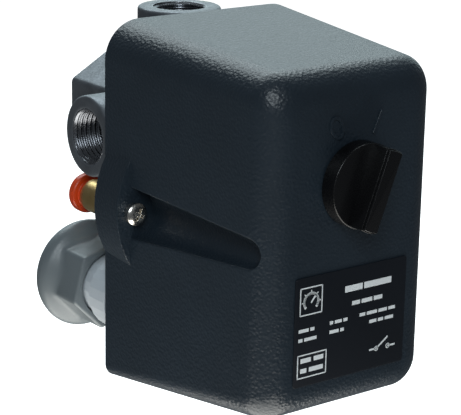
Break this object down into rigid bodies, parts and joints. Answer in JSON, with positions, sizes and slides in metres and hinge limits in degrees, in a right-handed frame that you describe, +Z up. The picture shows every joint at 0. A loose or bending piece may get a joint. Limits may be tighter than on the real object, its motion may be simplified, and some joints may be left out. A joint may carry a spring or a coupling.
{
  "type": "pressure switch",
  "caption": "Compressor pressure switch: drafted plastic cover with a rotary knob over a rocker mechanism, on a die-cast manifold with threaded ports, cable glands and a brass unloader valve.",
  "frame": {"origin": "centre of the inlet's end face, on the inlet's axis", "axes": "+Y out of the inlet, away from the cover; -Y towards the knob; +Z up, through the top port; +X to the right when facing the knob"},
  "size_m": [0.067, 0.1076, 0.088],
  "materials": {
    "cover_plastic": "moulded, fine pebble grain",
    "knob_plastic": "semi-gloss black",
    "label_film": "smooth satin film",
    "frame_plastic": "light grey moulded",
    "gland_plastic": "mid grey moulded, satin",
    "cast_metal": "die-cast, slightly rough",
    "plated_steel": "nickel plated",
    "spring_steel": "drawn wire",
    "brass": "turned brass",
    "copper": "stamped copper",
    "collet_plastic": "orange-red moulded",
    "rubber": "black, matt",
    "block_plastic": "cream moulded thermoset"
  },
  "bodies": {
    "base": {"base_frame": "frame_plastic", "manifold": "cast_metal", "flange_screw_1": "plated_steel", "flange_screw_2": "plated_steel", "flange_screw_3": "plated_steel", "flange_screw_4": "plated_steel", "diaphragm": "rubber", "spring_bracket": "plated_steel", "rocker_pin": "spring_steel", "fixed_contact_1": "copper", "fixed_contact_2": "copper", "fixed_contact_3": "copper", "fixed_contact_4": "copper", "terminal_block": "block_plastic", "earth_bar": "brass", "unloader_valve": "brass", "tube_seal": "rubber", "gland_seal_left": "rubber", "gland_seal_right": "rubber", "main_spring": "spring_steel", "differential_spring": "spring_steel"},
    "cover": {"cover": "cover_plastic", "label_plate": "label_film", "knob_clip": "spring_steel"},
    "knob": {"knob": "knob_plastic", "selector_arm": "frame_plastic"},
    "off_rod": {"off_rod": "frame_plastic"},
    "plunger": {"pressure_plate": "plated_steel"},
    "rocker": {"rocker_lever": "plated_steel", "contact_carrier": "block_plastic", "contact_bridge_left": "copper", "contact_bridge_right": "copper"},
    "valve_stem": {"valve_stem": "plated_steel"},
    "main_screw": {"main_screw": "plated_steel"},
    "main_nut": {"main_nut": "brass"},
    "differential_screw": {"differential_screw": "plated_steel"},
    "differential_nut": {"differential_nut": "brass"},
    "collet": {"release_collet": "collet_plastic"},
    "screw_washer_left": {"screw_washer_left": "plated_steel"},
    "cover_screw_left": {"cover_screw_left": "plated_steel"},
    "gland_clamp_left": {"gland_clamp_left": "gland_plastic"},
    "gland_nut_left": {"gland_nut_left": "gland_plastic"},
    "earth_screw_left": {"earth_screw_left": "plated_steel"},
    "screw_washer_right": {"screw_washer_right": "plated_steel"},
    "cover_screw_right": {"cover_screw_right": "plated_steel"},
    "gland_clamp_right": {"gland_clamp_right": "gland_plastic"},
    "gland_nut_right": {"gland_nut_right": "gland_plastic"},
    "earth_screw_right": {"earth_screw_right": "plated_steel"},
    "terminal_screw_1": {"terminal_screw_1": "plated_steel"},
    "terminal_screw_2": {"terminal_screw_2": "plated_steel"},
    "terminal_screw_3": {"terminal_screw_3": "plated_steel"},
    "terminal_screw_4": {"terminal_screw_4": "plated_steel"}
  },
  "joints": [
    {"name": "cover_slide", "type": "slide", "parent": "base", "child": "cover", "axis": [0, -1, 0], "range_m": [0, 0.06]},
    {"name": "knob_turn", "type": "hinge", "parent": "cover", "child": "knob", "pos_m": [0, -0.1, 0], "axis": [0, -1, 0], "range_deg": [0, 42]},
    {"name": "off_rod_slide", "type": "slide", "parent": "base", "child": "off_rod", "axis": [0, 1, 0], "range_m": [0, 0.0024]},
    {"name": "pressure_stroke", "type": "slide", "parent": "base", "child": "plunger", "axis": [0, -1, 0], "range_m": [0, 0.001], "stiffness_N_per_m": 3000},
    {"name": "rocker_tilt", "type": "hinge", "parent": "base", "child": "rocker", "pos_m": [0, -0.0512, -0.01], "axis": [1, 0, 0], "range_deg": [0, 5.8]},
    {"name": "valve_stroke", "type": "slide", "parent": "base", "child": "valve_stem", "axis": [0, 1, 0], "range_m": [0, 0.0009]},
    {"name": "main_screw_turn", "type": "hinge", "parent": "base", "child": "main_screw", "pos_m": [0, -0.08, 0], "axis": [0, 1, 0], "range_deg": [-1080.5, 1080.5]},
    {"name": "main_nut_slide", "type": "slide", "parent": "base", "child": "main_nut", "axis": [0, 1, 0], "range_m": [-0.003, 0.003], "deforming": ["main_spring"]},
    {"name": "differential_screw_turn", "type": "hinge", "parent": "base", "child": "differential_screw", "pos_m": [0, -0.079, 0.0155], "axis": [0, 1, 0], "range_deg": [-1440.5, 1440.5]},
    {"name": "differential_nut_slide", "type": "slide", "parent": "base", "child": "differential_nut", "axis": [0, 1, 0], "range_m": [-0.0028, 0.0028], "deforming": ["differential_spring"]},
    {"name": "collet_push", "type": "slide", "parent": "base", "child": "collet", "axis": [0, -1, 0], "range_m": [0, 0.0012], "stiffness_N_per_m": 400},
    {"name": "cover_screw_travel_left", "type": "slide", "parent": "cover", "child": "screw_washer_left", "axis": [0, -1, 0], "range_m": [0, 0.008]},
    {"name": "cover_screw_turn_left", "type": "hinge", "parent": "screw_washer_left", "child": "cover_screw_left", "pos_m": [-0.0276, -0.05, -0.014], "axis": [0, -1, 0], "range_deg": [0, 1800.5]},
    {"name": "gland_travel_left", "type": "slide", "parent": "base", "child": "gland_clamp_left", "axis": [0, 1, 0], "range_m": [0, 0.003]},
    {"name": "gland_nut_turn_left", "type": "hinge", "parent": "gland_clamp_left", "child": "gland_nut_left", "pos_m": [-0.0195, -0.02, -0.0392], "axis": [0, 1, 0], "range_deg": [0, 720]},
    {"name": "earth_screw_turn_left", "type": "hinge", "parent": "base", "child": "earth_screw_left", "pos_m": [-0.0046, -0.047, -0.049], "axis": [0, -1, 0], "range_deg": [0, 540]},
    {"name": "cover_screw_travel_right", "type": "slide", "parent": "cover", "child": "screw_washer_right", "axis": [0, -1, 0], "range_m": [0, 0.008]},
    {"name": "cover_screw_turn_right", "type": "hinge", "parent": "screw_washer_right", "child": "cover_screw_right", "pos_m": [0.0276, -0.05, -0.014], "axis": [0, -1, 0], "range_deg": [0, 1800.5]},
    {"name": "gland_travel_right", "type": "slide", "parent": "base", "child": "gland_clamp_right", "axis": [0, 1, 0], "range_m": [0, 0.003]},
    {"name": "gland_nut_turn_right", "type": "hinge", "parent": "gland_clamp_right", "child": "gland_nut_right", "pos_m": [0.0195, -0.02, -0.0392], "axis": [0, 1, 0], "range_deg": [0, 720]},
    {"name": "earth_screw_turn_right", "type": "hinge", "parent": "base", "child": "earth_screw_right", "pos_m": [0.0046, -0.047, -0.049], "axis": [0, -1, 0], "range_deg": [0, 540]},
    {"name": "terminal_screw_turn_1", "type": "hinge", "parent": "base", "child": "terminal_screw_1", "pos_m": [-0.0065, -0.0875, -0.0285], "axis": [0, -1, 0], "range_deg": [0, 540]},
    {"name": "terminal_screw_turn_2", "type": "hinge", "parent": "base", "child": "terminal_screw_2", "pos_m": [0.0065, -0.0875, -0.0285], "axis": [0, -1, 0], "range_deg": [0, 540]},
    {"name": "terminal_screw_turn_3", "type": "hinge", "parent": "base", "child": "terminal_screw_3", "pos_m": [-0.0065, -0.0875, -0.044], "axis": [0, -1, 0], "range_deg": [0, 540]},
    {"name": "terminal_screw_turn_4", "type": "hinge", "parent": "base", "child": "terminal_screw_4", "pos_m": [0.0065, -0.0875, -0.044], "axis": [0, -1, 0], "range_deg": [0, 540]}
  ],
  "couplings": [
    {"joint": "knob_turn", "follows": "off_rod_slide", "rad_per_m": 305.43},
    {"joint": "rocker_tilt", "follows": "pressure_stroke", "rad_per_m": 100},
    {"joint": "valve_stroke", "follows": "pressure_stroke", "ratio": 0.81},
    {"joint": "main_screw_turn", "follows": "main_nut_slide", "rad_per_m": 6283.2},
    {"joint": "differential_screw_turn", "follows": "differential_nut_slide", "rad_per_m": 8976},
    {"joint": "cover_screw_turn_left", "follows": "cover_screw_travel_left", "rad_per_m": 3927},
    {"joint": "gland_travel_left", "follows": "gland_nut_turn_left", "m_per_rad": 0.00023873},
    {"joint": "cover_screw_turn_right", "follows": "cover_screw_travel_right", "rad_per_m": 3927},
    {"joint": "gland_travel_right", "follows": "gland_nut_turn_right", "m_per_rad": 0.00023873}
  ]
}
